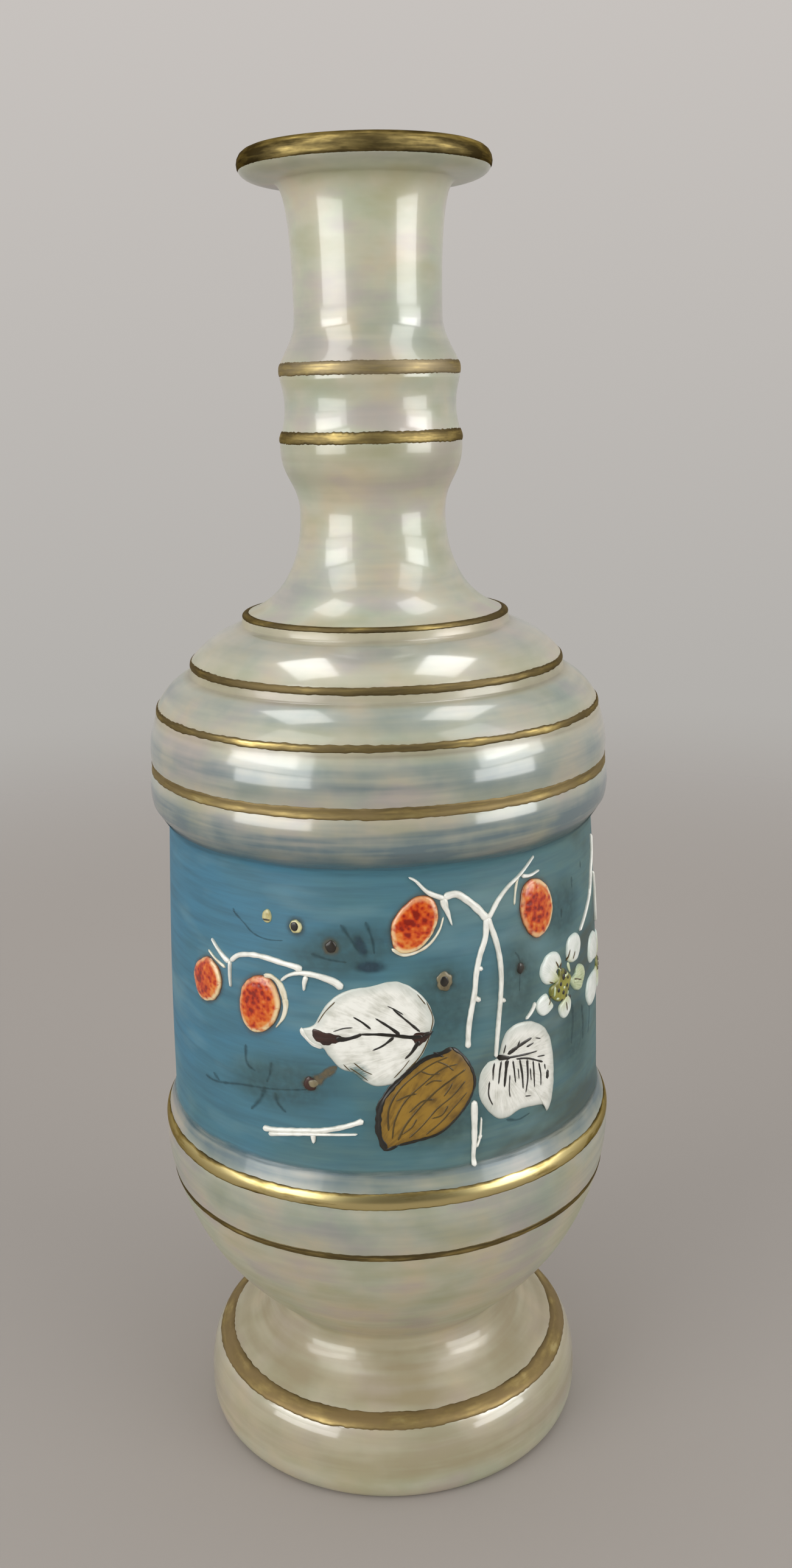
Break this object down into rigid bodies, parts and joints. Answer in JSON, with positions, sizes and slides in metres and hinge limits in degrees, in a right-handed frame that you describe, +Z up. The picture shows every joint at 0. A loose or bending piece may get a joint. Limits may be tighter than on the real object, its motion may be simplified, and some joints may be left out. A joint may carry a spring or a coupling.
{
  "type": "decanter",
  "caption": "Footed satin-glass decanter with a beehive shoulder, ringed neck and turned-out lip, gilt lines, a blue barrel and a raised enamel spray of berries and leaves.",
  "frame": {"origin": "centre of the ring that the foot stands on, at table height", "axes": "+Z up along the axis of the vessel; -Y out through the middle of the enamelled front"},
  "size_m": [0.0906, 0.0906, 0.2502],
  "materials": {
    "satin_glass": "satin: mould-blown clear glass with an acid-dulled surface",
    "gilding": "fired gilding, worn, antique gold",
    "blue_ground": "thin streaky teal-blue glass enamel, semi-matt",
    "white_enamel": "raised opaque white glass enamel",
    "red_enamel": "raised translucent orange-red glass enamel",
    "gold_enamel": "raised brown-gold glass enamel",
    "dark_enamel": "raised near-black glass enamel",
    "green_enamel": "raised yellow-green glass enamel"
  },
  "bodies": {
    "root": {"glass_body": "satin_glass", "blue_ground": "blue_ground", "gilt_lip_band": "gilding", "gilt_upper_collar_band": "gilding", "gilt_lower_collar_band": "gilding", "gilt_upper_step_line": "gilding", "gilt_middle_step_line": "gilding", "gilt_low_step_line": "gilding", "gilt_shoulder_band": "gilding", "gilt_belly_band": "gilding", "gilt_belly_line": "gilding", "gilt_foot_band": "gilding", "berry_far_left": "red_enamel", "berry_left": "red_enamel", "berry_middle": "red_enamel", "berry_right": "red_enamel", "leaf_white_left": "white_enamel", "leaf_gold": "gold_enamel", "leaf_white_right": "white_enamel", "stem_left": "white_enamel", "stem_middle": "white_enamel", "stem_lower": "white_enamel", "stem_right": "white_enamel", "twig_low": "white_enamel", "twig_short": "white_enamel", "blossom_petal_1": "white_enamel", "blossom_petal_2": "white_enamel", "blossom_petal_3": "green_enamel", "blossom_petal_4": "white_enamel", "blossom_petal_5": "white_enamel", "blossom_heart": "green_enamel", "side_blossom_petal_1": "white_enamel", "side_blossom_petal_2": "white_enamel", "side_blossom_petal_3": "white_enamel", "side_blossom_petal_4": "white_enamel", "side_blossom_heart": "green_enamel", "dot_pale": "gold_enamel", "dot_gold": "gold_enamel", "dot_dark_left": "dark_enamel", "dot_dark_middle": "dark_enamel", "dot_dark_right": "dark_enamel", "bud_gold": "gold_enamel"}
  },
  "joints": []
}
